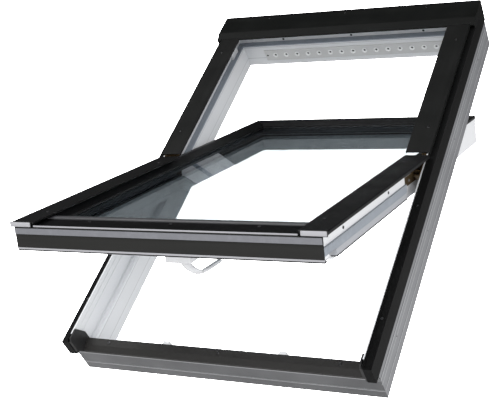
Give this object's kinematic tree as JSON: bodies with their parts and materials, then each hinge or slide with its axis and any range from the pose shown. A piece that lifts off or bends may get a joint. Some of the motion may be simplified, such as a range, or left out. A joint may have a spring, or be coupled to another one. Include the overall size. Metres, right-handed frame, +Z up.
{
  "type": "centre-pivot roof window",
  "caption": "Centre-pivot roof window with double glazing, dark aluminium cladding and a white PVC frame, standing half open at the pitch of the roof.",
  "frame": {"origin": "middle of the frame's lower (sill) face", "axes": "+Z up, +X to the right when looked at from outside, +Y horizontal, from the sill towards the head; the roof plane rises along +Y at 45 degrees"},
  "size_m": [0.7836, 1.1707, 0.9438],
  "materials": {
    "frame_pvc": "extruded PVC, white inside and grey on the outer faces",
    "sash_pvc": "white extruded PVC, satin",
    "grille": "moulded light grey plastic",
    "filter": "open-cell filter mat",
    "steel": "zinc-coated steel tube",
    "channel": "powder-coated aluminium, dark brownish grey",
    "cover": "powder-coated aluminium, near black, satin",
    "fascia": "powder-coated aluminium, charcoal, with bare bright lips",
    "bead": "powder-coated aluminium, dark grey, satin",
    "end_cap": "light grey moulded plastic",
    "grey_seal": "grey sealing rubber",
    "rubber": "black sealing rubber",
    "block": "dark moulded plastic",
    "glass": "clear coated float glass",
    "spacer": "dark spacer bar",
    "hinge": "bronze-lacquered steel",
    "screw": "zinc-plated steel",
    "handle": "white lacquered handle",
    "grip": "dark grey soft strip",
    "zinc": "zinc-plated steel"
  },
  "bodies": {
    "frame": {"frame_jamb_left": "frame_pvc", "frame_jamb_right": "frame_pvc", "frame_head": "frame_pvc", "frame_sill": "frame_pvc", "jamb_steel_left": "steel", "jamb_steel_right": "steel", "side_channel_left": "channel", "side_channel_right": "channel", "sill_cladding": "channel", "head_hood": "cover", "hood_supports": "block", "upper_cover_left": "cover", "upper_cover_right": "cover", "corner_block_left": "block", "corner_block_right": "block", "frame_gasket": "grey_seal", "vent_grille": "grille", "vent_filter": "filter", "side_stop": "sash_pvc", "frame_hinge_left": "hinge", "frame_hinge_right": "hinge", "striker_left": "zinc", "striker_right": "zinc", "cladding_screws": "screw", "frame_screws": "screw", "frame_hinge_screws": "screw"},
    "sash": {"sash_stile_left": "sash_pvc", "sash_stile_right": "sash_pvc", "sash_top_rail": "sash_pvc", "sash_bottom_rail": "sash_pvc", "stile_steel_left": "steel", "stile_steel_right": "steel", "side_strip_left": "sash_pvc", "side_strip_right": "sash_pvc", "side_seal_left": "grey_seal", "side_seal_right": "grey_seal", "sash_gasket": "rubber", "outer_pane": "glass", "inner_pane": "glass", "pane_spacer": "spacer", "glass_gaskets": "rubber", "glazing_bead_left": "bead", "glazing_bead_right": "bead", "glazing_bead_top": "bead", "glazing_bead_bottom": "bead", "lower_cover_left": "cover", "lower_cover_right": "cover", "cover_end_left": "end_cap", "cover_end_right": "end_cap", "sash_fascia": "fascia", "fascia_gasket": "grey_seal", "sash_hinge_left": "hinge", "sash_hinge_right": "hinge", "sash_screws": "screw", "sash_hinge_screws": "screw", "handle_base": "handle"},
    "lever": {"handle_lever": "handle", "grip_insert": "grip", "handle_spindle": "zinc"},
    "lock": {"lock_bar": "zinc"}
  },
  "joints": [
    {"name": "sash_turn", "type": "hinge", "parent": "frame", "child": "sash", "pos_m": [0, 0.33729, 0.49992], "axis": [-1, 0, 0], "range_deg": [-31.9, 108.1]},
    {"name": "lever_turn", "type": "hinge", "parent": "sash", "child": "lever", "pos_m": [-0.008, -0.15316, 0.29339], "axis": [0, -0.2267, 0.974], "range_deg": [0, 90]},
    {"name": "lock_slide", "type": "slide", "parent": "sash", "child": "lock", "axis": [1, 0, 0], "range_m": [0, 0.018]}
  ],
  "couplings": [
    {"joint": "lock_slide", "follows": "lever_turn", "m_per_rad": 0.011459}
  ]
}
